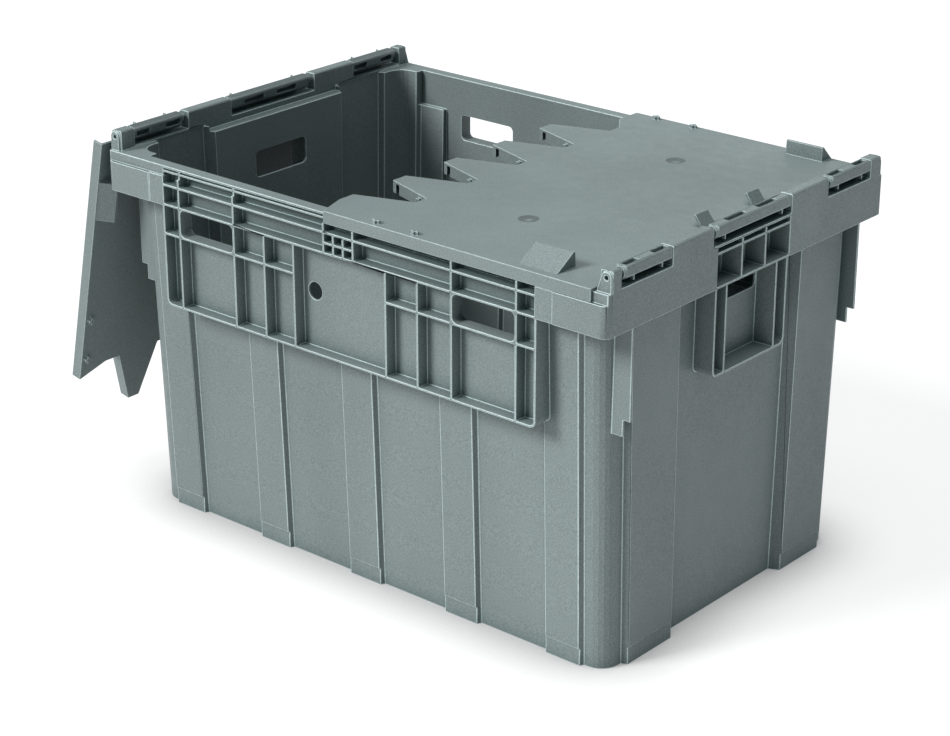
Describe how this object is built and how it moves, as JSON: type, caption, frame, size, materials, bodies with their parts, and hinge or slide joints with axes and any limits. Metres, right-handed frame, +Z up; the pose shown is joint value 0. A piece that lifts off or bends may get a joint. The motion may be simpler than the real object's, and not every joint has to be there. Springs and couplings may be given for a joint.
{
  "type": "attached lid tote",
  "caption": "Ribbed plastic storage tote with hinged interlocking toothed lids on steel rods, finned handholds and a tapered body for nesting.",
  "frame": {"origin": "centre of the flat underside, at floor level", "axes": "+Z up, +X along the length towards the end whose lid is shut, -Y towards the long side with the round hole"},
  "size_m": [0.8063, 0.495, 0.4568],
  "materials": {
    "container_plastic": "fine matte moulded texture",
    "lid_plastic": "fine matte moulded texture",
    "rod_steel": "plain drawn rod"
  },
  "bodies": {
    "container": {"container_body": "container_plastic", "right_hinge_rod": "rod_steel", "left_hinge_rod": "rod_steel"},
    "right_lid": {"right_lid": "lid_plastic"},
    "left_lid": {"left_lid": "lid_plastic"}
  },
  "joints": [
    {"name": "right_lid_hinge", "type": "hinge", "parent": "container", "child": "right_lid", "pos_m": [0.3475, 0, 0.449], "axis": [0, 1, 0], "range_deg": [0, 258]},
    {"name": "left_lid_hinge", "type": "hinge", "parent": "container", "child": "left_lid", "pos_m": [-0.3475, 0, 0.449], "axis": [0, 1, 0], "range_deg": [0, 258]}
  ]
}
